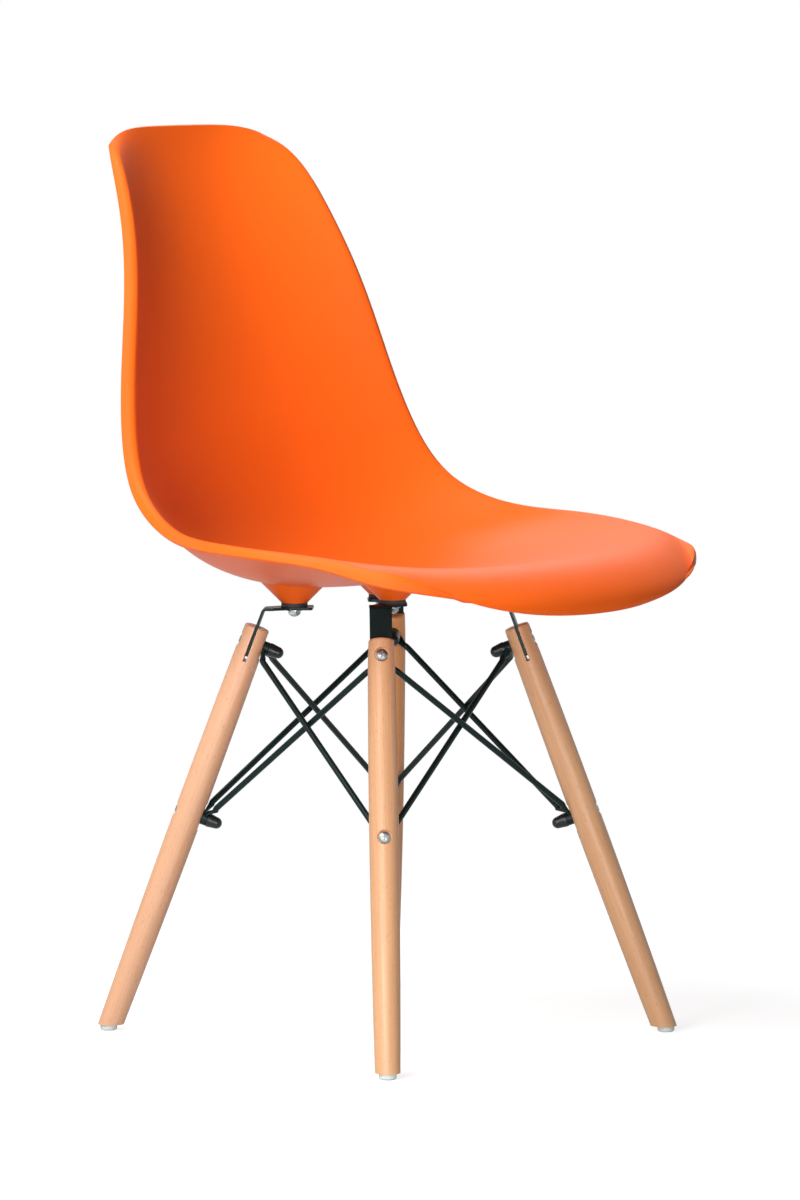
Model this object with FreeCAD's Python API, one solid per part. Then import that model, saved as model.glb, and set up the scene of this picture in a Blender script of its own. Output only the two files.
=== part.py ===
import FreeCAD, Part
import math
import os

from FreeCAD import Matrix, Placement, Vector

# Moulded plastic side chair on four leaning wooden legs. Millimetres.
# The chair faces -Y, +X is the sitter's left and the floor is Z = 0.
# Right and left in the names are the sitter's.

# Shell, overall
seat_height = 415.0            # floor to the middle of the seat's control line
shell_width = 462.0            # between the two side ridges at the hips
shell_depth = 542.0            # front roll to top of the back
back_rise = 404.0              # middle of the seat to the top of the back
shell_wall = 4.5
edge_round = 2.4               # how far the rounded rim stands out of the wall's edge

# Shell, section across
dish_power = 2.3               # how the dish rises from the middle to the side ridge
corner_power = 5.0             # how late the top and front edges turn down to their corners
across_steps = [0.0, 0.2, 0.4, 0.58, 0.74, 0.87, 0.95, 1.0]
lip_steps = [(0.35, 0.05), (0.75, 0.4), (1.0, 1.0)]

# Shell lines, drawn for a shell of these three sizes and stretched with the sizes above
drawn_width = 462.0
drawn_depth = 542.0
drawn_rise = 404.0

# Each station, from the front edge under the knees to the top of the back:
# middle Y and Z, ridge X, Y and Z, how far the lip turns out and how far it drops.
# Y is from the middle of the base and Z from the seat height. The first and last lines
# are the shell's own edges, so there the lip runs on along the edge and doesn't drop.
shell_stations = [
    (-262, -13, 138, -238, 7, 8, 0),
    (-268, -3, 183, -219, 30, 9, 15),
    (-249, 19, 197, -180, 34, 9, 11),
    (-203, 30, 203, -158, 39, 8, 10),
    (-140, 19, 211, -126, 43, 8, 8),
    (-70, 9, 226, -75, 46, 8, 7),
    (0, 0, 231, -15, 49, 8, 8),
    (73, -11, 213, 42, 50, 8, 8),
    (134, 2, 196, 90, 63, 9, 9),
    (177, 40, 185, 125, 87, 10, 10),
    (200, 95, 173, 147, 129, 10, 10),
    (215, 165, 159, 163, 186, 10, 9),
    (233, 245, 140, 177, 260, 10, 9),
    (255, 325, 120, 204, 332, 9, 9),
    (272, 382, 109, 237, 383, 8, 8),
    (275, 404, 98, 261, 393, 5, 0),
]

# Mounting bosses under the seat, and what bolts up into them
boss_half_x = 55.5
boss_half_y = 63.5
front_boss_drop = 10.5         # seat height to the boss's foot
rear_boss_drop = 22.5
boss_foot_dia = 24.0
boss_flare = 1.0               # growth of the radius for each millimetre of height
boss_reach = 24.0              # tall enough to end inside the wall
insert_dia = 8.6
insert_length = 10.0
insert_hole_spare = 1.0        # depth of the boss's hole above the insert
pad_dia = 24.0
pad_thickness = 3.5
shell_bolt_dia = 6.0
shell_bolt_reach = 9.0         # thread inside the insert
shell_bolt_flats = 10.0
shell_bolt_head = 5.6
shell_bolt_crown = 3.2         # how much of the head is rounded over
shell_washer_dia = 14.0
shell_washer_thickness = 1.5

# Brackets
plate_thickness = 2.5
plate_width = 20.0
plate_in_leg = 28.0            # from the leg's top down into its slot
bend_inner_radius = 2.0
flange_beyond_bolt = 17.0
flange_half_width = 13.0
flange_corner_radius = 4.0
flange_neck = 9.0              # straight stretch between the bend and the flange's wide part
flange_before_bolt = 4.0       # full width starts this far outside the bolt

# Legs
foot_half_x = 178.0
foot_half_y = 182.0
leg_top_half_x = 86.0
leg_top_half_y = 80.0
leg_top_drop = 43.5            # seat height to the middle of the leg's top
leg_foot_dia = 22.4
leg_belly_dia = 26.4
leg_shoulder_dia = 24.8
leg_tip_dia = 22.6
leg_belly_share = 0.54         # of the leg's length, from the foot
leg_crown_length = 34.0
leg_crown_power = 1.6          # how late the crown narrows towards the tip
leg_edge_radius = 2.2
slot_depth = 33.0

# Bolts through the legs
leg_bolt_dia = 6.0
upper_bolt_below_top = 16.0
lower_bolt_share = 0.54        # of the leg's length, from the foot
leg_bolt_head_dia = 10.8
leg_bolt_head_height = 3.0
leg_bolt_head_edge = 1.0
counterbore_dia = 13.4
counterbore_depth = 3.0
spot_face_dia = 26.0           # long enough for the rods' necks too
spot_face_depth = 0.8
recess_length = 5.6
recess_width = 1.3
recess_depth = 1.6

# Cross rods
rod_dia = 5.5
eye_dia = 12.0
eye_thickness = 2.5
neck_start = 4.4               # from the eye's middle, inside its rim
neck_flat_end = 6.6            # the pressed neck keeps the eye's thickness up to here
neck_half_width = 4.0
outer_neck = 15.0              # to the start of the round rod, on an eye against the leg
inner_neck = 12.0              # the same, on an eye that lies on the other's
wood_gap = 0.4                 # least gap between a rod and the leg that it crosses
rod_gap = 0.5                  # and between two rods that cross
elbow_radius = 7.0
elbow_run = 3.0

# Cap nuts
cap_base_dia = 12.6
cap_base_length = 3.0
cap_tip_dia = 10.4
cap_taper_length = 7.6
cap_length = 14.5
cap_thread_depth = 10.0
cap_base_chamfer = 0.7
nut_bottom_gap = 1.0           # from the bolt's end to the bottom of the cap nut's thread

# Foot glides
glide_dia = 15.6
glide_height = 5.5
glide_edge_radius = 2.2
nail_dia = 2.4
nail_length = 17.0
nail_head_dia = 6.0
nail_head_height = 1.0
nail_recess_dia = 6.6
nail_recess_depth = 2.4

# Clearances
bolt_clearance = 0.25          # radial, of a bolt in a plain hole
thread_clearance = 0.05        # radial, of a bolt in its thread
slot_clearance = 0.3           # each side of the plate in the leg's slot
insert_clearance = 0.02        # radial, of an insert pressed into its boss
edge_match = 0.05              # within this an edge counts as the one looked for

up = Vector(0, 0, 1)
corners = [("front_right", -1, -1), ("front_left", 1, -1), ("rear_left", 1, 1), ("rear_right", -1, 1)]


def unit(vector):
    return vector * (1.0 / vector.Length)


def cylinder(radius, start, direction, length):
    return Part.makeCylinder(radius, length, start, direction)


def largest_solid(shape):
    return max(shape.Solids, key=lambda solid: solid.Volume)


# Shell surface


def clamped_knots(count, degree):
    spans = count - degree
    knots = [float(index) for index in range(spans + 1)]
    mults = [degree + 1] + [1] * (spans - 1) + [degree + 1]
    return knots, mults


def net_face(net, degree_along, degree_across):
    knots_along, mults_along = clamped_knots(len(net), degree_along)
    knots_across, mults_across = clamped_knots(len(net[0]), degree_across)
    surface = Part.BSplineSurface()
    surface.buildFromPolesMultsKnots(net, mults_along, mults_across, knots_along, knots_across,
                                     False, False, degree_along, degree_across)
    return surface.toShape()


def stretched_stations():
    wide = shell_width / drawn_width
    deep = shell_depth / drawn_depth
    tall = back_rise / drawn_rise
    rows = []
    for middle_y, middle_z, ridge_x, ridge_y, ridge_z, lip_out, lip_drop in shell_stations:
        middle = Vector(0, middle_y * deep, seat_height + middle_z * tall)
        ridge = Vector(ridge_x * wide, ridge_y * deep, seat_height + ridge_z * tall)
        rows.append((middle, ridge, float(lip_out), float(lip_drop)))
    return rows


def dish_point(middle, ridge, along, share):
    """Point of a station between its middle, share 0, and its ridge, share 1, or past it."""
    inward = Vector(0, -along.z, along.y)
    rise = (ridge - middle).dot(inward)
    lag = (ridge - middle).dot(along)
    flat = middle + Vector(ridge.x * share, 0, 0)
    return flat + inward * (rise * share ** dish_power) + along * (lag * share ** corner_power)


def upper_net():
    """Control points of the sitter's side, one row for each station, from right to left."""
    rows = stretched_stations()
    last = len(rows) - 1
    net = []
    for index, (middle, ridge, lip_out, lip_drop) in enumerate(rows):
        middle_before, ridge_before = rows[max(index - 1, 0)][:2]
        middle_after, ridge_after = rows[min(index + 1, last)][:2]
        along = unit(middle_after - middle_before)
        ridge_along = unit(Vector(0, ridge_after.y - ridge_before.y, ridge_after.z - ridge_before.z))
        drop = Vector(0, ridge_along.z, -ridge_along.y)
        half = [dish_point(middle, ridge, along, share) for share in across_steps]
        for out_share, drop_share in lip_steps:
            if index in (0, last):
                half.append(dish_point(middle, ridge, along, 1 + lip_out * out_share / ridge.x))
            else:
                half.append(ridge + Vector(lip_out * out_share, 0, 0) + drop * (lip_drop * drop_share))
        mirrored = [Vector(-point.x, point.y, point.z) for point in reversed(half[1:])]
        net.append(mirrored + half)
    return net


def under_net(net):
    """The same points moved through the wall, away from the sitter."""
    last_row = len(net) - 1
    last_column = len(net[0]) - 1
    lip_count = len(lip_steps)
    moved = []
    for row in range(last_row + 1):
        line = []
        for column in range(last_column + 1):
            at = column
            if row in (0, last_row):
                at = min(max(column, lip_count), last_column - lip_count)
            along = net[min(row + 1, last_row)][at] - net[max(row - 1, 0)][at]
            across = net[row][min(at + 1, last_column)] - net[row][max(at - 1, 0)]
            line.append(net[row][column] + unit(along.cross(across)) * shell_wall)
        moved.append(line)
    return moved


def rim_points(upper, under):
    """Points half way through the wall and a little outside it, for each point of the rim."""
    last_row = len(upper) - 1
    last_column = len(upper[0]) - 1
    loop = [(0, column) for column in range(last_column)]
    loop += [(row, last_column) for row in range(last_row)]
    loop += [(last_row, column) for column in range(last_column, 0, -1)]
    loop += [(row, 0) for row in range(last_row, 0, -1)]
    rim = {}
    for position, (row, column) in enumerate(loop):
        row_before, column_before = loop[position - 1]
        row_after, column_after = loop[(position + 1) % len(loop)]
        tangent = upper[row_after][column_after] - upper[row_before][column_before]
        wall = under[row][column] - upper[row][column]
        centre = (upper[row][column] + under[row][column]) * 0.5
        rim[row, column] = centre + unit(wall.cross(tangent)) * edge_round
    return rim


def plain_shell():
    upper = upper_net()
    under = under_net(upper)
    rim = rim_points(upper, under)
    rows = range(len(upper))
    columns = range(len(upper[0]))
    faces = [net_face(upper, 3, 3), net_face(under, 3, 3)]
    for row in (0, len(upper) - 1):
        strip = [upper[row], [rim[row, column] for column in columns], under[row]]
        faces.append(net_face(strip, 2, 3))
    for column in (0, len(upper[0]) - 1):
        strip = [[line[column] for line in upper], [rim[row, column] for row in rows],
                 [line[column] for line in under]]
        faces.append(net_face(strip, 2, 3))
    shell = Part.makeShell(faces)
    shell.sewShape()
    solid = Part.makeSolid(shell)
    if solid.Volume < 0:
        solid.reverse()
    return solid


# Places of the bosses, brackets and legs


def boss_foot(sx, sy):
    drop = front_boss_drop if sy < 0 else rear_boss_drop
    return Vector(sx * boss_half_x, sy * boss_half_y, seat_height - drop)


def flange_top(sx, sy):
    return boss_foot(sx, sy).z - pad_thickness


class LegFrame:
    """Directions and points of one leg: axis up the leg, out away from the chair's middle."""

    def __init__(self, sx, sy):
        self.foot = Vector(sx * foot_half_x, sy * foot_half_y, 0)
        self.top = Vector(sx * leg_top_half_x, sy * leg_top_half_y, seat_height - leg_top_drop)
        self.length = (self.top - self.foot).Length
        self.axis = unit(self.top - self.foot)
        self.plan_out = unit(Vector(self.foot.x - self.top.x, self.foot.y - self.top.y, 0))
        self.side = unit(up.cross(self.plan_out))
        self.out = unit(self.side.cross(self.axis))

    def at(self, height):
        return self.foot + self.axis * height

    def placement(self, origin):
        matrix = Matrix(self.out.x, self.side.x, self.axis.x, origin.x,
                        self.out.y, self.side.y, self.axis.y, origin.y,
                        self.out.z, self.side.z, self.axis.z, origin.z,
                        0, 0, 0, 1)
        return Placement(matrix)


def bolt_heights(leg):
    return {"upper": leg.length - upper_bolt_below_top, "lower": leg.length * lower_bolt_share}


def leg_radius(leg, height):
    """Radius of the turned leg at a height along its axis."""
    belly = leg.length * leg_belly_share
    shoulder = leg.length - leg_crown_length
    belly_radius = leg_belly_dia / 2
    if height <= belly:
        share = (belly - height) / belly
        return belly_radius - (belly_radius - leg_foot_dia / 2) * share ** 2
    if height <= shoulder:
        share = (height - belly) / (shoulder - belly)
        return belly_radius - (belly_radius - leg_shoulder_dia / 2) * share ** 2
    share = (height - shoulder) / leg_crown_length
    return (leg_shoulder_dia - (leg_shoulder_dia - leg_tip_dia) * share ** leg_crown_power) / 2


# Legs


def turned_leg(leg):
    """The leg as turned on a lathe, with its axis up and its foot at the origin."""
    belly = leg.length * leg_belly_share
    shoulder = leg.length - leg_crown_length
    spare = glide_dia
    points = [Vector(leg_radius(leg, height), 0, height)
              for height in (0, belly / 2, belly, (belly + shoulder) / 2, shoulder,
                             shoulder + leg_crown_length / 2, leg.length)]
    start = Vector(points[0].x, 0, -spare)
    edges = [Part.LineSegment(Vector(0, 0, -spare), start).toShape()]
    edges.append(Part.LineSegment(start, points[0]).toShape())
    for first in (0, 2, 4):
        edges.append(Part.Arc(points[first], points[first + 1], points[first + 2]).toShape())
    edges.append(Part.LineSegment(points[6], Vector(0, 0, leg.length)).toShape())
    edges.append(Part.LineSegment(Vector(0, 0, leg.length), Vector(0, 0, -spare)).toShape())
    solid = Part.Face(Part.Wire(edges)).revolve(Vector(0, 0, 0), up, 360)
    top_edges = [edge for edge in solid.Edges
                 if abs(edge.BoundBox.ZMin - leg.length) < 0.01 and edge.Length > leg_tip_dia]
    return solid.makeFillet(leg_edge_radius, top_edges)


def bolt_cuts(leg, height):
    """Hole, head pocket and flat eye seat of one cross bolt, in the leg's own frame."""
    radius = leg_radius(leg, height)
    centre = Vector(0, 0, height)
    out = Vector(1, 0, 0)
    reach = leg_belly_dia
    hole = cylinder(leg_bolt_dia / 2 + bolt_clearance, centre - out * reach, out, 2 * reach)
    pocket = cylinder(counterbore_dia / 2, centre + out * (radius - counterbore_depth), out, reach)
    seat = cylinder(spot_face_dia / 2, centre - out * (radius - spot_face_depth), -out, reach)
    return [hole, pocket, seat]


def make_leg(leg):
    solid = turned_leg(leg)
    width = plate_thickness + 2 * slot_clearance
    slot = Part.makeBox(width, 2 * leg_belly_dia, slot_depth + leg_edge_radius,
                        Vector(-width / 2, -leg_belly_dia, leg.length - slot_depth))
    cuts = [slot]
    for height in bolt_heights(leg).values():
        cuts.extend(bolt_cuts(leg, height))
    solid = solid.cut(cuts)
    solid.Placement = leg.placement(leg.foot)
    floor_cut = 4 * leg_belly_dia
    below = Part.makeBox(floor_cut, floor_cut, floor_cut,
                         leg.foot + Vector(-floor_cut / 2, -floor_cut / 2, glide_height - floor_cut))
    nail_hole = cylinder(nail_dia / 2, leg.foot, up, nail_recess_depth + nail_length)
    return largest_solid(solid.cut([below, nail_hole]))


# Bosses, pads, inserts and the bolts of the shell


def add_bosses(shell):
    for name, sx, sy in corners:
        foot = boss_foot(sx, sy)
        foot_radius = boss_foot_dia / 2
        cone = Part.makeCone(foot_radius, foot_radius + boss_flare * boss_reach, boss_reach, foot, up)
        pieces = cone.cut(shell).Solids
        boss = min(pieces, key=lambda solid: solid.CenterOfMass.z)
        shell = shell.fuse(boss)
    hole_radius = insert_dia / 2 + insert_clearance
    hole_depth = insert_length + insert_hole_spare
    holes = [cylinder(hole_radius, boss_foot(sx, sy), up, hole_depth) for name, sx, sy in corners]
    return largest_solid(shell.cut(holes))


def make_insert(sx, sy):
    foot = boss_foot(sx, sy)
    body = cylinder(insert_dia / 2, foot, up, insert_length)
    return body.cut(cylinder(shell_bolt_dia / 2, foot, up, insert_length))


def make_pad(sx, sy):
    low = boss_foot(sx, sy) - up * pad_thickness
    body = cylinder(pad_dia / 2, low, up, pad_thickness)
    return body.cut(cylinder(shell_bolt_dia / 2 + bolt_clearance, low, up, pad_thickness))


def make_shell_washer(sx, sy):
    foot = boss_foot(sx, sy)
    low = Vector(foot.x, foot.y, flange_top(sx, sy) - plate_thickness - shell_washer_thickness)
    body = cylinder(shell_washer_dia / 2, low, up, shell_washer_thickness)
    return body.cut(cylinder(shell_bolt_dia / 2 + bolt_clearance, low, up, shell_washer_thickness))


def make_shell_bolt(sx, sy):
    """Hexagon bolt with a rounded head, its thread up in the insert."""
    foot = boss_foot(sx, sy)
    seat_z = flange_top(sx, sy) - plate_thickness - shell_washer_thickness
    seat = Vector(foot.x, foot.y, seat_z)
    corner_radius = shell_bolt_flats / math.sqrt(3)
    ring = [seat + Vector(corner_radius * math.cos(math.radians(angle)),
                          corner_radius * math.sin(math.radians(angle)), 0)
            for angle in range(0, 361, 60)]
    hexagon = Part.Face(Part.makePolygon(ring)).extrude(Vector(0, 0, -shell_bolt_head))
    straight = shell_bolt_head - shell_bolt_crown
    profile = [Vector(0, 0, 0), Vector(corner_radius, 0, 0), Vector(corner_radius, 0, straight)]
    rounding = turned(profile, shell_bolt_crown)
    rounding.Placement = Placement(seat, FreeCAD.Rotation(up, -up))
    head = hexagon.common(rounding)
    shank_top = foot.z + shell_bolt_reach
    shank = cylinder(shell_bolt_dia / 2 - thread_clearance, seat, up, shank_top - seat_z)
    return head.fuse(shank).removeSplitter()


# Brackets


def make_bracket(leg, sx, sy):
    """Flat bar in the leg's slot, bent at the top into a flange that widens to the boss."""
    level = flange_top(sx, sy)
    half = plate_thickness / 2
    lean = math.acos(leg.axis.z)
    low = leg.top - leg.axis * plate_in_leg
    outer_corner = leg.top + leg.out * half
    outer_corner = outer_corner + leg.axis * ((level - outer_corner.z) / leg.axis.z)
    inner_corner = leg.top - leg.out * half
    inner_corner = inner_corner + leg.axis * ((level - plate_thickness - inner_corner.z) / leg.axis.z)
    flange_end = outer_corner - leg.plan_out * (flange_neck + plate_thickness * math.tan(lean))
    outline = [low + leg.out * half, low - leg.out * half, inner_corner,
               Vector(flange_end.x, flange_end.y, level - plate_thickness), flange_end, outer_corner]
    shift = leg.side * (plate_width / 2)
    profile = Part.Face(Part.makePolygon([point - shift for point in outline + outline[:1]]))
    strip = profile.extrude(leg.side * plate_width)
    inner_bend = [edge for edge in strip.Edges if is_on_line(edge, inner_corner)]
    strip = strip.makeFillet(bend_inner_radius, inner_bend)
    outer_bend = [edge for edge in strip.Edges if is_on_line(edge, outer_corner)]
    strip = strip.makeFillet(bend_inner_radius + plate_thickness, outer_bend)

    foot = boss_foot(sx, sy)
    centre = Vector(foot.x, foot.y, level - plate_thickness)
    neck_at = Vector(flange_end.x, flange_end.y, level - plate_thickness) + leg.plan_out * (flange_neck / 2)
    neck_half = leg.side * (plate_width / 2)
    wide_half = leg.side * flange_half_width
    near_edge = centre + leg.plan_out * flange_before_bolt
    far_edge = centre - leg.plan_out * flange_beyond_bolt
    ring = [neck_at + neck_half, near_edge + wide_half, far_edge + wide_half,
            far_edge - wide_half, near_edge - wide_half, neck_at - neck_half]
    flange = Part.Face(Part.makePolygon(ring + ring[:1])).extrude(up * plate_thickness)
    far_corners = [edge for edge in flange.Edges
                   if edge.BoundBox.ZLength > plate_thickness / 2
                   and abs((edge.CenterOfMass - far_edge).dot(leg.plan_out)) < edge_match]
    flange = flange.makeFillet(flange_corner_radius, far_corners)
    bracket = strip.fuse(flange)
    reach = 2 * plate_width
    bolt_at = leg.at(bolt_heights(leg)["upper"])
    holes = [cylinder(shell_bolt_dia / 2 + bolt_clearance, centre - up * reach, up, 2 * reach),
             cylinder(leg_bolt_dia / 2 + bolt_clearance, bolt_at - leg.out * reach, leg.out, 2 * reach)]
    return largest_solid(bracket.cut(holes).removeSplitter())


def is_on_line(edge, point):
    """True for the straight edge across the bar that passes through the point."""
    if len(edge.Vertexes) != 2:
        return False
    middle = (edge.Vertexes[0].Point + edge.Vertexes[1].Point) * 0.5
    return (middle - point).Length < edge_match and abs(edge.Length - plate_width) < edge_match


# Bolts, eyes and cap nuts on the legs


def eye_plane(leg, height, layer):
    """Centre of the eye in layer 0, against the leg, or layer 1, on the first."""
    distance = leg_radius(leg, height) - spot_face_depth + eye_thickness * (layer + 0.5)
    return leg.at(height) - leg.out * distance


def dome_arc(radius, start_height, dome_height):
    """Arc of a ball's crown from its rim at a radius to the axis."""
    ball = (radius ** 2 + dome_height ** 2) / (2 * dome_height)
    centre = start_height + dome_height - ball
    half_angle = math.asin(radius / ball) / 2
    middle = Vector(ball * math.sin(half_angle), 0, centre + ball * math.cos(half_angle))
    return Part.Arc(Vector(radius, 0, start_height), middle, Vector(0, 0, start_height + dome_height))


def turned(corner_points, dome_height):
    """Solid turned from a chain of corners that ends in a dome on the axis."""
    edges = [Part.LineSegment(first, second).toShape()
             for first, second in zip(corner_points, corner_points[1:])]
    last = corner_points[-1]
    edges.append(dome_arc(last.x, last.z, dome_height).toShape())
    edges.append(Part.LineSegment(Vector(0, 0, last.z + dome_height), corner_points[0]).toShape())
    return Part.Face(Part.Wire(edges)).revolve(Vector(0, 0, 0), up, 360)


def make_leg_bolt(leg, height):
    """Pan-head bolt with a cross recess, from its pocket outside to the cap nut inside."""
    radius = leg_radius(leg, height)
    seat = leg.at(height) + leg.out * (radius - counterbore_depth)
    shank_radius = leg_bolt_dia / 2 - thread_clearance
    in_nut = cap_thread_depth - nut_bottom_gap
    length = 2 * radius - counterbore_depth - spot_face_depth + 2 * eye_thickness + in_nut
    head_radius = leg_bolt_head_dia / 2
    profile = [Vector(0, 0, -length), Vector(shank_radius, 0, -length), Vector(shank_radius, 0, 0),
               Vector(head_radius, 0, 0), Vector(head_radius, 0, leg_bolt_head_edge)]
    bolt = turned(profile, leg_bolt_head_height - leg_bolt_head_edge)
    recess_corner = Vector(-recess_length / 2, -recess_width / 2, leg_bolt_head_height - recess_depth)
    for turn in (45, 135):
        slot = Part.makeBox(recess_length, recess_width, 2 * recess_depth, recess_corner)
        slot.rotate(Vector(0, 0, 0), up, turn)
        bolt = bolt.cut(slot)
    bolt.Placement = Placement(seat, FreeCAD.Rotation(up, leg.out))
    return bolt


def make_cap_nut(leg, height):
    """Black cap nut, a short round foot and a tapered body with a rounded tip."""
    base = leg.at(height) - leg.out * (leg_radius(leg, height) - spot_face_depth + 2 * eye_thickness)
    foot_radius = cap_base_dia / 2
    taper_end = cap_base_length + cap_taper_length
    profile = [Vector(0, 0, 0), Vector(foot_radius - cap_base_chamfer, 0, 0),
               Vector(foot_radius, 0, cap_base_chamfer), Vector(foot_radius, 0, cap_base_length),
               Vector(cap_tip_dia / 2, 0, taper_end)]
    body = turned(profile, cap_length - taper_end)
    body = body.cut(cylinder(leg_bolt_dia / 2, Vector(0, 0, 0), up, cap_thread_depth))
    body.Placement = Placement(base, FreeCAD.Rotation(up, -leg.out))
    return body


# Cross rods


def round_wire(centre, direction, radius):
    return Part.Wire([Part.Circle(centre, direction, radius).toShape()])


def flat_wire(centre, direction, wide_along, half_wide, half_thick):
    ellipse = Part.Ellipse(Vector(0, 0, 0), half_wide, half_thick)
    thin = unit(direction.cross(wide_along))
    matrix = Matrix(wide_along.x, thin.x, direction.x, centre.x,
                    wide_along.y, thin.y, direction.y, centre.y,
                    wide_along.z, thin.z, direction.z, centre.z,
                    0, 0, 0, 1)
    wire = Part.Wire([ellipse.toShape()])
    wire.Placement = Placement(matrix)
    return wire


def elbow(before, corner, after):
    """Straight, arc and straight ends of a bend at a corner: the two tangent points and the arc."""
    first = unit(corner - before)
    second = unit(after - corner)
    turn = first.getAngle(second)
    setback = elbow_radius * math.tan(turn / 2)
    start = corner - first * setback
    end = corner + second * setback
    middle_way = unit(second - first)
    centre = corner + middle_way * (elbow_radius / math.cos(turn / 2))
    middle = centre - middle_way * elbow_radius
    return start, middle, end


def rod_ends(first_leg, second_leg, layer):
    """Eye centre, direction in the eye's plane, and start of the round rod, at both ends."""
    eyes = [eye_plane(first_leg, bolt_heights(first_leg)["upper"], layer),
            eye_plane(second_leg, bolt_heights(second_leg)["lower"], layer)]
    neck = inner_neck if layer else outer_neck
    rise = rod_dia / 2 - eye_thickness / 2 + spot_face_depth + wood_gap
    if layer:
        rise = rise + rod_dia - eye_thickness + rod_gap
    ends = []
    for eye, other, leg in ((eyes[0], eyes[1], first_leg), (eyes[1], eyes[0], second_leg)):
        away = other - eye
        flat = unit(away - leg.out * away.dot(leg.out))
        ends.append((eye, flat, eye + flat * neck - leg.out * rise, leg))
    return ends


def make_rod(first_leg, second_leg, layer):
    """Round steel rod with both ends pressed flat into bolt eyes."""
    end_a, end_b = rod_ends(first_leg, second_leg, layer)
    eye_a, flat_a, start_a, leg_a = end_a
    eye_b, flat_b, start_b, leg_b = end_b
    turn_a = start_a + flat_a * elbow_run
    turn_b = start_b + flat_b * elbow_run
    arc_a = elbow(start_a, turn_a, turn_b)
    arc_b = elbow(turn_a, turn_b, start_b)
    path = Part.Wire([
        Part.LineSegment(start_a, arc_a[0]).toShape(),
        Part.Arc(arc_a[0], arc_a[1], arc_a[2]).toShape(),
        Part.LineSegment(arc_a[2], arc_b[0]).toShape(),
        Part.Arc(arc_b[0], arc_b[1], arc_b[2]).toShape(),
        Part.LineSegment(arc_b[2], start_b).toShape(),
    ])
    rod = path.makePipeShell([round_wire(start_a, flat_a, rod_dia / 2)], True, False)
    pieces = []
    for eye, flat, start, leg in ((eye_a, flat_a, start_a, leg_a), (eye_b, flat_b, start_b, leg_b)):
        sideways = unit(leg.out.cross(flat))
        pressed = [flat_wire(eye + flat * reach, flat, sideways, neck_half_width, eye_thickness / 2)
                   for reach in (neck_start, neck_flat_end)]
        pieces.append(Part.makeLoft(pressed, True, True))
        swell = [pressed[1], round_wire(start, flat, rod_dia / 2)]
        pieces.append(Part.makeLoft(swell, True, True))
        pieces.append(cylinder(eye_dia / 2, eye - leg.out * (eye_thickness / 2), leg.out, eye_thickness))
    rod = rod.fuse(pieces)
    holes = [cylinder(leg_bolt_dia / 2 + bolt_clearance, eye - leg.out * eye_dia, leg.out, 2 * eye_dia)
             for eye, leg in ((eye_a, leg_a), (eye_b, leg_b))]
    return largest_solid(rod.cut(holes))


# Glides


def make_glide(leg):
    foot = leg.foot
    body = cylinder(glide_dia / 2, foot, up, glide_height)
    low_edges = [edge for edge in body.Edges if edge.BoundBox.ZMax < 0.01 and edge.Length > glide_dia]
    body = body.makeFillet(glide_edge_radius, low_edges)
    recess = cylinder(nail_recess_dia / 2, foot, up, nail_recess_depth)
    hole = cylinder(nail_dia / 2, foot, up, glide_height)
    return body.cut([recess, hole])


def make_nail(leg):
    head_low = leg.foot + up * (nail_recess_depth - nail_head_height)
    head = cylinder(nail_head_dia / 2, head_low, up, nail_head_height)
    return head.fuse(cylinder(nail_dia / 2, head_low, up, nail_head_height + nail_length)).removeSplitter()


# Assembly


def build():
    shell = add_bosses(plain_shell())
    box = shell.optimalBoundingBox(False, False)
    to_origin = Vector(0, -(box.YMin + box.YMax) / 2, 0)

    nodes = {"seat_shell": [shell]}
    groups = {"boss_inserts": make_insert, "shell_bolts": make_shell_bolt,
              "shell_bolt_washers": make_shell_washer}
    for node, make in groups.items():
        nodes[node] = [make(sx, sy) for name, sx, sy in corners]

    legs = [LegFrame(sx, sy) for name, sx, sy in corners]
    for (name, sx, sy), leg in zip(corners, legs):
        nodes["mount_pad_" + name] = [make_pad(sx, sy)]
        nodes["bracket_" + name] = [make_bracket(leg, sx, sy)]
        nodes["leg_" + name] = [make_leg(leg)]
        nodes["foot_glide_" + name] = [make_glide(leg)]
    nodes["glide_nails"] = [make_nail(leg) for leg in legs]
    for level in ("upper", "lower"):
        heights = [bolt_heights(leg)[level] for leg in legs]
        nodes[level + "_leg_bolts"] = [make_leg_bolt(leg, height) for leg, height in zip(legs, heights)]
        nodes[level + "_cap_nuts"] = [make_cap_nut(leg, height) for leg, height in zip(legs, heights)]

    for index, (name, sx, sy) in enumerate(corners):
        for layer, step in enumerate((1, -1)):
            other = (index + step) % len(corners)
            node = "rod_" + name + "_to_" + corners[other][0]
            nodes[node] = [make_rod(legs[index], legs[other], layer)]

    os.makedirs("parts", exist_ok=True)
    for node, solids in nodes.items():
        for solid in solids:
            solid.translate(to_origin)
        shape = solids[0] if len(solids) == 1 else Part.makeCompound(solids)
        shape.exportStep("parts/" + node + ".step")
        valid = all(solid.isValid() for solid in solids)
        print(node, len(solids), "valid" if valid else "NOT VALID", round(sum(s.Volume for s in solids)))
    print("base moved along Y by", round(to_origin.y, 3))


build()
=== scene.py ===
import bpy
import math
from mathutils import Matrix, Vector


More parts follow.
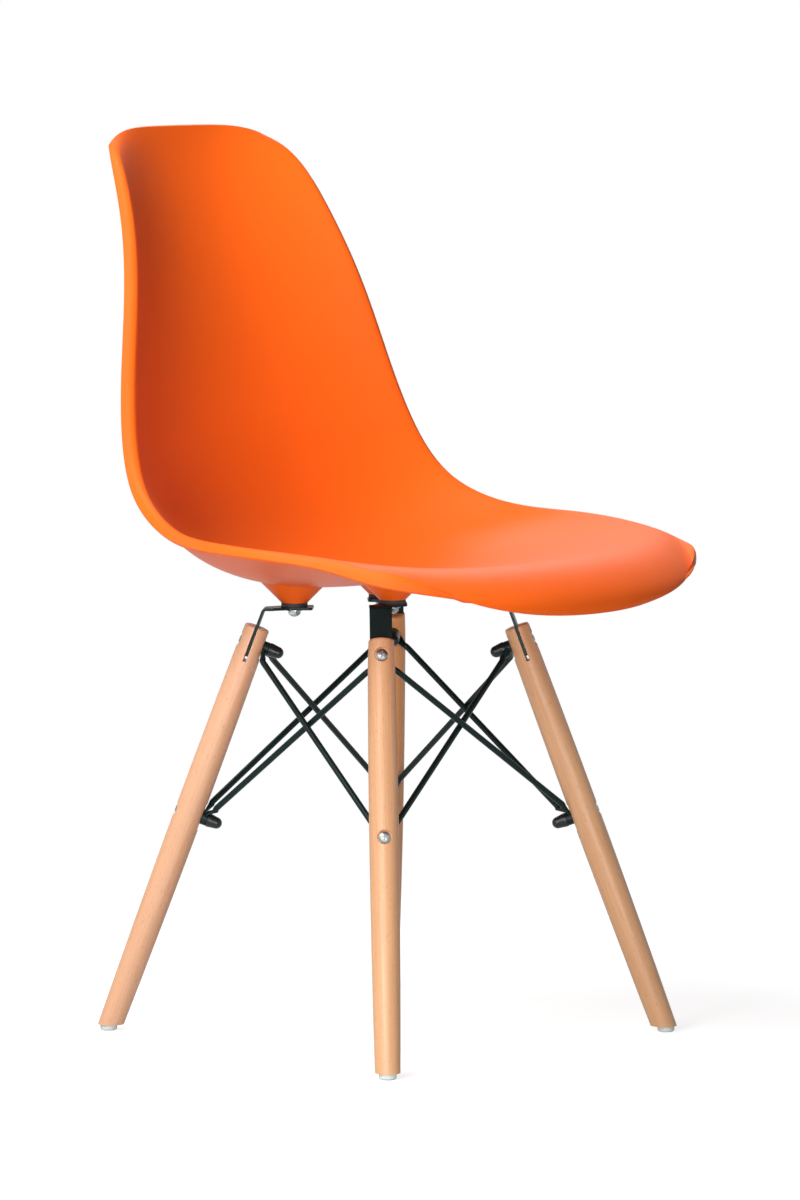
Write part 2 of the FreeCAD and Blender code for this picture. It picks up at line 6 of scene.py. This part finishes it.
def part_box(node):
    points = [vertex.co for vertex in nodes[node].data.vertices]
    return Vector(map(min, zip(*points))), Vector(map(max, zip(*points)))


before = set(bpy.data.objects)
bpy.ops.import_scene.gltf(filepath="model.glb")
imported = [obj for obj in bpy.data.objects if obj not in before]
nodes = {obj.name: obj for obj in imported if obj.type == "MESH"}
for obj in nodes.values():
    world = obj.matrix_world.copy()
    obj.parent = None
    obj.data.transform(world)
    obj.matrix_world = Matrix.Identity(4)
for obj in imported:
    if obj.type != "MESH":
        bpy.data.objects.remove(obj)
bpy.context.view_layer.update()
bpy.ops.object.select_all(action="DESELECT")
print("frame loaded:", len(nodes), "nodes")

cornerNames = ("front_right", "front_left", "rear_left", "rear_right")


def boxCentre(nodeName):
    low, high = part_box(nodeName)
    return (low + high) / 2


# the middle of the four feet, on the floor
baseCentre = sum((boxCentre("foot_glide_" + corner) for corner in cornerNames), Vector()) / 4
baseCentre.z = 0


# camera, as the photo was taken
cameraSetup = {
    "azimuth": -44.498,        # degrees round the chair, 0 looks along +Y
    "distance": 5.820,         # level distance from the base centre
    "height": 0.98951,
    "yaw": -0.116,             # small turn off the base centre
    "pitch": 5.83,             # looking down
    "focalPixels": 6447.27,
    "picturePixels": 1200,     # the photo's longer side
    "sensorWidth": 36,
    "clipStart": 0.1,
    "clipEnd": 200,
}


def makeCamera(setup):
    around = math.radians(setup["azimuth"])
    turn = math.radians(setup["azimuth"] + setup["yaw"])
    down = math.radians(setup["pitch"])
    data = bpy.data.cameras.new("photoCamera")
    data.sensor_width = setup["sensorWidth"]
    data.lens = setup["focalPixels"] * setup["sensorWidth"] / setup["picturePixels"]
    data.clip_start = setup["clipStart"]
    data.clip_end = setup["clipEnd"]
    camera = bpy.data.objects.new("photoCamera", data)
    bpy.context.scene.collection.objects.link(camera)
    camera.location = baseCentre + Vector((math.sin(around) * setup["distance"],
                                           -math.cos(around) * setup["distance"],
                                           setup["height"]))
    look = Vector((-math.sin(turn) * math.cos(down),
                   math.cos(turn) * math.cos(down),
                   -math.sin(down)))
    camera.rotation_mode = "QUATERNION"
    camera.rotation_quaternion = look.to_track_quat("-Z", "Y")
    bpy.context.scene.camera = camera


makeCamera(cameraSetup)
print("camera placed")


# floor, backdrop and lamps
studio = {
    "floorSize": 14.0,
    "floorColour": (0.40, 0.40, 0.40, 1),
    "floorLift": 0.80,         # added to what the camera sees of the floor, so that it reads white
    "fadeStart": 0.55,         # metres from the floor's middle where it starts to turn plain white
    "fadeEnd": 1.60,
    "worldColour": (1.0, 1.0, 1.0, 1),
    "worldStrength": 0.025,
    "lampAim": (0, 0, 0.45),   # the point that every lamp faces
}

lamps = {
    # azimuth, elevation, distance, width, height, watts
    "highRearLamp": (-123, 65, 2.0, 1.0, 1.0, 33.0),
    "sideLamp": (-90, 40, 2.0, 1.0, 1.0, 27.5),
    "lowFrontLamp": (-65, 12, 2.0, 1.0, 1.0, 25.0),
    "rollLamp": (-36, -6, 2.0, 0.8, 0.4, 15.0),
    "farRimLamp": (140, 40, 2.0, 1.0, 1.0, 8.0),
}


def mathNode(tree, operation, *values):
    node = tree.nodes.new("ShaderNodeMath")
    node.operation = operation
    for socket, value in zip(node.inputs, values):
        if isinstance(value, (int, float)):
            socket.default_value = value
        else:
            tree.links.new(value, socket)
    return node.outputs[0]


def seenMask(tree, path):
    # 1 where the camera sees a surface, also in a mirror or through glass
    mirrored = mathNode(tree, "MAXIMUM", path.outputs["Is Glossy Ray"], path.outputs["Is Transmission Ray"])
    return mathNode(tree, "MAXIMUM", path.outputs["Is Camera Ray"], mirrored)


def makeFloor(setup):
    bpy.ops.mesh.primitive_plane_add(size=setup["floorSize"], location=(0, 0, 0))
    floor = bpy.context.object
    floor.name = "floor"
    mat = bpy.data.materials.new("floorWhite")
    mat.use_nodes = True
    tree = mat.node_tree
    tree.nodes.clear()
    link = tree.links.new
    coords = tree.nodes.new("ShaderNodeTexCoord")
    length = tree.nodes.new("ShaderNodeVectorMath")
    length.operation = "LENGTH"
    link(coords.outputs["Object"], length.inputs[0])
    far = tree.nodes.new("ShaderNodeMapRange")
    far.interpolation_type = "SMOOTHSTEP"
    far.inputs["From Min"].default_value = setup["fadeStart"]
    far.inputs["From Max"].default_value = setup["fadeEnd"]
    link(length.outputs["Value"], far.inputs["Value"])
    path = tree.nodes.new("ShaderNodeLightPath")
    seen = seenMask(tree, path)
    white = tree.nodes.new("ShaderNodeEmission")
    white.inputs["Strength"].default_value = 1
    lift = tree.nodes.new("ShaderNodeEmission")
    link(mathNode(tree, "MULTIPLY", seen, setup["floorLift"]), lift.inputs["Strength"])
    paint = tree.nodes.new("ShaderNodeBsdfDiffuse")
    paint.inputs["Color"].default_value = setup["floorColour"]
    near = tree.nodes.new("ShaderNodeAddShader")
    link(paint.outputs[0], near.inputs[0])
    link(lift.outputs[0], near.inputs[1])
    blend = tree.nodes.new("ShaderNodeMixShader")
    link(mathNode(tree, "MULTIPLY", far.outputs["Result"], seen), blend.inputs["Fac"])
    link(near.outputs[0], blend.inputs[1])
    link(white.outputs[0], blend.inputs[2])
    # from below the floor lets the camera through
    side = tree.nodes.new("ShaderNodeNewGeometry")
    through = mathNode(tree, "MULTIPLY", side.outputs["Backfacing"], path.outputs["Is Camera Ray"])
    clear = tree.nodes.new("ShaderNodeBsdfTransparent")
    result = tree.nodes.new("ShaderNodeMixShader")
    link(through, result.inputs["Fac"])
    link(blend.outputs[0], result.inputs[1])
    link(clear.outputs[0], result.inputs[2])
    output = tree.nodes.new("ShaderNodeOutputMaterial")
    link(result.outputs[0], output.inputs["Surface"])
    floor.data.materials.append(mat)


def makeWorld(setup):
    world = bpy.data.worlds.new("studioWorld")
    bpy.context.scene.world = world
    world.use_nodes = True
    tree = world.node_tree
    tree.nodes.clear()
    link = tree.links.new
    soft = tree.nodes.new("ShaderNodeBackground")
    soft.inputs["Color"].default_value = setup["worldColour"]
    soft.inputs["Strength"].default_value = setup["worldStrength"]
    white = tree.nodes.new("ShaderNodeBackground")
    white.inputs["Color"].default_value = (1, 1, 1, 1)
    white.inputs["Strength"].default_value = 1
    blend = tree.nodes.new("ShaderNodeMixShader")
    link(seenMask(tree, tree.nodes.new("ShaderNodeLightPath")), blend.inputs["Fac"])
    link(soft.outputs[0], blend.inputs[1])
    link(white.outputs[0], blend.inputs[2])
    output = tree.nodes.new("ShaderNodeOutputWorld")
    link(blend.outputs[0], output.inputs["Surface"])


def makeLamp(name, azimuth, elevation, distance, width, height, watts):
    data = bpy.data.lights.new(name, "AREA")
    data.shape = "RECTANGLE"
    data.size = width
    data.size_y = height
    data.energy = watts
    lamp = bpy.data.objects.new(name, data)
    bpy.context.scene.collection.objects.link(lamp)
    around = math.radians(azimuth)
    up = math.radians(elevation)
    back = Vector((math.sin(around) * math.cos(up), -math.cos(around) * math.cos(up), math.sin(up)))
    lamp.location = Vector(studio["lampAim"]) + back * distance
    lamp.rotation_mode = "QUATERNION"
    lamp.rotation_quaternion = (-back).to_track_quat("-Z", "Y")
    lamp.visible_camera = False


makeFloor(studio)
makeWorld(studio)
for lampName, values in lamps.items():
    makeLamp(lampName, *values)
bpy.context.scene.view_settings.view_transform = "Standard"
print("studio lit")


# node groups that several finishes share
def newGroup(name, inputs, outputs):
    group = bpy.data.node_groups.new(name, "ShaderNodeTree")
    for label, kind, value in inputs:
        socket = group.interface.new_socket(name=label, in_out="INPUT", socket_type=kind)
        if value is not None:
            socket.default_value = value
    for label, kind in outputs:
        group.interface.new_socket(name=label, in_out="OUTPUT", socket_type=kind)
    start = group.nodes.new("NodeGroupInput")
    end = group.nodes.new("NodeGroupOutput")
    return group, start, end


def noiseNode(tree, vector, scale, detail, roughness):
    node = tree.nodes.new("ShaderNodeTexNoise")
    tree.links.new(vector, node.inputs["Vector"])
    if isinstance(scale, (int, float)):
        node.inputs["Scale"].default_value = scale
    else:
        tree.links.new(scale, node.inputs["Scale"])
    node.inputs["Detail"].default_value = detail
    node.inputs["Roughness"].default_value = roughness
    return node.outputs["Fac"]


def rangeNode(tree, value, fromMin, fromMax, toMin, toMax, smooth=False):
    node = tree.nodes.new("ShaderNodeMapRange")
    if smooth:
        node.interpolation_type = "SMOOTHSTEP"
    tree.links.new(value, node.inputs["Value"])
    numbers = {"From Min": fromMin, "From Max": fromMax, "To Min": toMin, "To Max": toMax}
    for label, number in numbers.items():
        node.inputs[label].default_value = number
    return node.outputs["Result"]


def mixColour(tree, factor, first, second):
    node = tree.nodes.new("ShaderNodeMix")
    node.data_type = "RGBA"
    tree.links.new(factor, node.inputs[0])
    # inputs 6 and 7 and output 2 are the mix node's colour sockets
    for socket, value in ((node.inputs[6], first), (node.inputs[7], second)):
        if isinstance(value, tuple):
            socket.default_value = value
        else:
            tree.links.new(value, socket)
    return node.outputs[2]


def buildFineTexture():
    # the fine, even texture of moulded plastic, paint and rubber, with a slow unevenness under it
    group, start, end = newGroup(
        "fineTexture",
        [("Vector", "NodeSocketVector", None), ("Grain Scale", "NodeSocketFloat", 1400.0),
         ("Wave Scale", "NodeSocketFloat", 60.0), ("Wave Share", "NodeSocketFloat", 0.5)],
        [("Height", "NodeSocketFloat"), ("Tone", "NodeSocketFloat")])
    vector = start.outputs["Vector"]
    grain = noiseNode(group, vector, start.outputs["Grain Scale"], 3.0, 0.6)
    wave = noiseNode(group, vector, start.outputs["Wave Scale"], 2.0, 0.5)
    waveHeight = mathNode(group, "MULTIPLY", wave, start.outputs["Wave Share"])
    group.links.new(mathNode(group, "ADD", grain, waveHeight), end.inputs["Height"])
    group.links.new(wave, end.inputs["Tone"])
    return group


grainPlan = {
    # a noise is scale, detail and roughness; the streaks' scale is an input of the group
    "streakStretch": 0.04,     # the pattern's scale along the leg, against 1 across it
    "pithOffset": (0.031, 0.017, 0), "pithTilt": (0.012, 0.02, 0),
    "wanderNoise": (38.0, 2.0, 0.55), "wanderSize": 0.006,
    "lateWoodPower": 2.6,      # higher makes the dark part of a ring narrower
    "streakNoise": (3.0, 0.6),
    "fleckStretch": 0.13, "fleckScale": 1050, "fleckEdge": (0.16, 0.32),
    "pickNoise": (420.0, 1.0, 0.5), "pickEdge": (0.46, 0.60),
    "fleckDepth": -0.5,
}


def buildBeechGrain():
    # growth rings, long streaks and the short dark flecks of beech, along the group's own Z
    group, start, end = newGroup(
        "beechGrain",
        [("Vector", "NodeSocketVector", None), ("Ring Spacing", "NodeSocketFloat", 0.0028),
         ("Streak Scale", "NodeSocketFloat", 150.0), ("Fleck Share", "NodeSocketFloat", 0.5)],
        [("Rings", "NodeSocketFloat"), ("Streaks", "NodeSocketFloat"), ("Flecks", "NodeSocketFloat"),
         ("Height", "NodeSocketFloat")])
    vector = start.outputs["Vector"]
    long = group.nodes.new("ShaderNodeMapping")
    long.inputs["Scale"].default_value = (1, 1, grainPlan["streakStretch"])
    group.links.new(vector, long.inputs["Vector"])
    # rings round a pith that lies outside the leg
    pith = group.nodes.new("ShaderNodeMapping")
    pith.inputs["Location"].default_value = grainPlan["pithOffset"]
    pith.inputs["Rotation"].default_value = grainPlan["pithTilt"]
    group.links.new(vector, pith.inputs["Vector"])
    parts = group.nodes.new("ShaderNodeSeparateXYZ")
    group.links.new(pith.outputs[0], parts.inputs[0])
    flat = group.nodes.new("ShaderNodeCombineXYZ")
    group.links.new(parts.outputs["X"], flat.inputs["X"])
    group.links.new(parts.outputs["Y"], flat.inputs["Y"])
    radius = group.nodes.new("ShaderNodeVectorMath")
    radius.operation = "LENGTH"
    group.links.new(flat.outputs[0], radius.inputs[0])
    wander = noiseNode(group, long.outputs[0], *grainPlan["wanderNoise"])
    wanderLength = mathNode(group, "MULTIPLY", wander, grainPlan["wanderSize"])
    ringPlace = mathNode(group, "ADD", radius.outputs["Value"], wanderLength)
    ringCount = mathNode(group, "DIVIDE", ringPlace, start.outputs["Ring Spacing"])
    ringPhase = mathNode(group, "FRACT", ringCount)
    late = mathNode(group, "POWER", ringPhase, grainPlan["lateWoodPower"])
    group.links.new(late, end.inputs["Rings"])
    streaks = noiseNode(group, long.outputs[0], start.outputs["Streak Scale"], *grainPlan["streakNoise"])
    group.links.new(streaks, end.inputs["Streaks"])
    dash = group.nodes.new("ShaderNodeMapping")
    dash.inputs["Scale"].default_value = (1, 1, grainPlan["fleckStretch"])
    group.links.new(vector, dash.inputs["Vector"])
    cells = group.nodes.new("ShaderNodeTexVoronoi")
    cells.inputs["Scale"].default_value = grainPlan["fleckScale"]
    group.links.new(dash.outputs[0], cells.inputs["Vector"])
    spots = rangeNode(group, cells.outputs["Distance"], *grainPlan["fleckEdge"], 1.0, 0.0, True)
    pick = noiseNode(group, dash.outputs[0], *grainPlan["pickNoise"])
    picked = rangeNode(group, pick, *grainPlan["pickEdge"], 0.0, 1.0, True)
    flecks = mathNode(group, "MULTIPLY", spots, picked)
    fleckMask = mathNode(group, "MULTIPLY", flecks, start.outputs["Fleck Share"])
    group.links.new(fleckMask, end.inputs["Flecks"])
    low = mathNode(group, "MULTIPLY", fleckMask, grainPlan["fleckDepth"])
    group.links.new(mathNode(group, "ADD", streaks, low), end.inputs["Height"])
    return group


fineTexture = buildFineTexture()
beechGrain = buildBeechGrain()
print("node groups built")


# finishes
def newMaterial(name, constants):
    mat = bpy.data.materials.new(name)
    mat.use_nodes = True
    shader = mat.node_tree.nodes["Principled BSDF"]
    for label, value in constants.items():
        shader.inputs[label].default_value = value
    return mat, mat.node_tree, shader


def objectCoords(tree):
    return tree.nodes.new("ShaderNodeTexCoord").outputs["Object"]


def placeGroup(tree, group, vector, values):
    node = tree.nodes.new("ShaderNodeGroup")
    node.node_tree = group
    tree.links.new(vector, node.inputs["Vector"])
    for label, value in values.items():
        node.inputs[label].default_value = value
    return node


def bumpFrom(tree, height, distance, strength, shader):
    bump = tree.nodes.new("ShaderNodeBump")
    bump.inputs["Distance"].default_value = distance
    bump.inputs["Strength"].default_value = strength
    tree.links.new(height, bump.inputs["Height"])
    tree.links.new(bump.outputs["Normal"], shader.inputs["Normal"])


toneRange = (0.3, 0.7)         # the parts of the noise that the tone and the roughness spread over
heightRange = (0.4, 1.1)


def mouldedFinish(name, setup):
    # one recipe for plastic, paint, rubber and metal: two close tones, a roughness that varies, fine bump
    mat, tree, shader = newMaterial(name, setup["constants"])
    texture = placeGroup(tree, fineTexture, objectCoords(tree), setup["texture"])
    tone = rangeNode(tree, texture.outputs["Tone"], *toneRange, 0.0, 1.0)
    colour = mixColour(tree, tone, setup["colour"], setup["otherColour"])
    tree.links.new(colour, shader.inputs["Base Color"])
    roughness = rangeNode(tree, texture.outputs["Height"], *heightRange, *setup["roughness"])
    tree.links.new(roughness, shader.inputs["Roughness"])
    bumpFrom(tree, texture.outputs["Height"], setup["bumpDistance"], setup["bumpStrength"], shader)
    return mat


finishes = {
    "shell_plastic": {
        "colour": (0.80, 0.113, 0.0080, 1), "otherColour": (0.78, 0.108, 0.0075, 1),
        "roughness": (0.40, 0.48), "bumpDistance": 0.00006, "bumpStrength": 0.5,
        "texture": {"Grain Scale": 1100.0, "Wave Scale": 9.0, "Wave Share": 0.3},
        "constants": {"Specular IOR Level": 0.08, "Sheen Weight": 0.03, "Sheen Roughness": 0.5,
                      "Sheen Tint": (1.0, 0.75, 0.7, 1)},
    },
    "black_steel": {
        "colour": (0.001, 0.008, 0.008, 1), "otherColour": (0.002, 0.013, 0.013, 1),
        "roughness": (0.30, 0.40), "bumpDistance": 0.00002, "bumpStrength": 0.25,
        "texture": {"Grain Scale": 900.0, "Wave Scale": 90.0, "Wave Share": 0.8},
        "constants": {"Specular IOR Level": 0.16},
    },
    "zinc_steel": {
        "colour": (0.33, 0.34, 0.33, 1), "otherColour": (0.22, 0.23, 0.23, 1),
        "roughness": (0.28, 0.42), "bumpDistance": 0.00003, "bumpStrength": 0.4,
        "texture": {"Grain Scale": 2400.0, "Wave Scale": 300.0, "Wave Share": 0.8},
        "constants": {"Metallic": 1.0},
    },
    "black_cap": {
        "colour": (0.003, 0.007, 0.008, 1), "otherColour": (0.006, 0.011, 0.012, 1),
        "roughness": (0.20, 0.30), "bumpDistance": 0.00002, "bumpStrength": 0.3,
        "texture": {"Grain Scale": 900.0, "Wave Scale": 120.0, "Wave Share": 1.0},
        "constants": {"Specular IOR Level": 0.3},
    },
    "pad_rubber": {
        "colour": (0.016, 0.016, 0.017, 1), "otherColour": (0.028, 0.028, 0.030, 1),
        "roughness": (0.62, 0.80), "bumpDistance": 0.00008, "bumpStrength": 0.6,
        "texture": {"Grain Scale": 1500.0, "Wave Scale": 200.0, "Wave Share": 0.4},
        "constants": {"Specular IOR Level": 0.4},
    },
    "insert_brass": {
        "colour": (0.72, 0.48, 0.18, 1), "otherColour": (0.60, 0.40, 0.15, 1),
        "roughness": (0.30, 0.45), "bumpDistance": 0.00004, "bumpStrength": 0.5,
        "texture": {"Grain Scale": 1800.0, "Wave Scale": 240.0, "Wave Share": 0.8},
        "constants": {"Metallic": 1.0},
    },
    "glide_plastic": {
        "colour": (0.66, 0.72, 0.70, 1), "otherColour": (0.60, 0.66, 0.64, 1),
        "roughness": (0.28, 0.40), "bumpDistance": 0.00004, "bumpStrength": 0.4,
        "texture": {"Grain Scale": 1300.0, "Wave Scale": 150.0, "Wave Share": 0.8},
        "constants": {"Subsurface Weight": 0.25, "Subsurface Scale": 0.002},
    },
}

finishNames = {
    "shell_plastic": "satinOrangePlastic",
    "black_steel": "blackPowderCoat",
    "zinc_steel": "brightZincPlate",
    "black_cap": "glossBlackEnamel",
    "pad_rubber": "mattBlackRubber",
    "insert_brass": "turnedBrass",
    "glide_plastic": "paleNylon",
}
finishOf = {slot: mouldedFinish(finishNames[slot], setup) for slot, setup in finishes.items()}
for node in nodes.values():
    slotName = node.material_slots[0].material.name
    if slotName in finishes:
        node.material_slots[0].material = finishOf[slotName]
print("plastic, metal and rubber finished")


# beech legs
legPlan = {
    "footHalfX": 0.178, "footHalfY": 0.182,     # where each leg's axis meets the floor, from the base centre
    "topHalfX": 0.086, "topHalfY": 0.080, "topHeight": 0.3715,
    "ringSpacing": 0.0028,
    "streakRange": (0.35, 0.65), "streakShare": 0.55, "ringShare": 0.45,
    "fleckShade": 0.55,        # the flecks' brightness, against the dark tone
    "roughnessRange": (0.3, 0.7), "roughness": (0.38, 0.52),
    "bumpDistance": 0.00012, "bumpStrength": 0.35,
    "constants": {"Coat Weight": 0.12, "Coat Roughness": 0.3, "Specular IOR Level": 0.4},
}

legTones = {
    # corner: sides, turn of the grain round the leg, light tone, dark tone
    "front_right": ((-1, -1), 0.6, (0.58, 0.315, 0.160, 1), (0.48, 0.240, 0.115, 1)),
    "front_left": ((1, -1), 2.1, (0.62, 0.345, 0.180, 1), (0.50, 0.252, 0.122, 1)),
    "rear_left": ((1, 1), 3.9, (0.64, 0.280, 0.095, 1), (0.52, 0.210, 0.070, 1)),
    "rear_right": ((-1, 1), 5.2, (0.60, 0.330, 0.195, 1), (0.51, 0.262, 0.145, 1)),
}


def beechFinish(corner, sides, grainTurn, lightTone, darkTone):
    name = "oiledBeech" + corner.title().replace("_", "")
    mat, tree, shader = newMaterial(name, legPlan["constants"])
    foot = baseCentre + Vector((sides[0] * legPlan["footHalfX"], sides[1] * legPlan["footHalfY"], 0))
    top = baseCentre + Vector((sides[0] * legPlan["topHalfX"], sides[1] * legPlan["topHalfY"],
                               legPlan["topHeight"]))
    upright = (top - foot).rotation_difference(Vector((0, 0, 1))).to_matrix()
    turn = Matrix.Rotation(grainTurn, 3, "Z") @ upright
    along = tree.nodes.new("ShaderNodeMapping")
    along.inputs["Rotation"].default_value = turn.to_euler("XYZ")
    along.inputs["Location"].default_value = -(turn @ foot)
    tree.links.new(objectCoords(tree), along.inputs["Vector"])
    grain = placeGroup(tree, beechGrain, along.outputs[0], {"Ring Spacing": legPlan["ringSpacing"]})
    streaks = rangeNode(tree, grain.outputs["Streaks"], *legPlan["streakRange"], 0.0, legPlan["streakShare"])
    colour = mixColour(tree, streaks, lightTone, darkTone)
    rings = mathNode(tree, "MULTIPLY", grain.outputs["Rings"], legPlan["ringShare"])
    colour = mixColour(tree, rings, colour, darkTone)
    fleckTone = tuple(channel * legPlan["fleckShade"] for channel in darkTone[:3]) + (1,)
    colour = mixColour(tree, grain.outputs["Flecks"], colour, fleckTone)
    tree.links.new(colour, shader.inputs["Base Color"])
    roughness = rangeNode(tree, grain.outputs["Streaks"], *legPlan["roughnessRange"], *legPlan["roughness"])
    tree.links.new(roughness, shader.inputs["Roughness"])
    bumpFrom(tree, grain.outputs["Height"], legPlan["bumpDistance"], legPlan["bumpStrength"], shader)
    nodes["leg_" + corner].material_slots[0].material = mat


for corner, values in legTones.items():
    beechFinish(corner, *values)
print("legs finished")


bpy.context.view_layer.update()
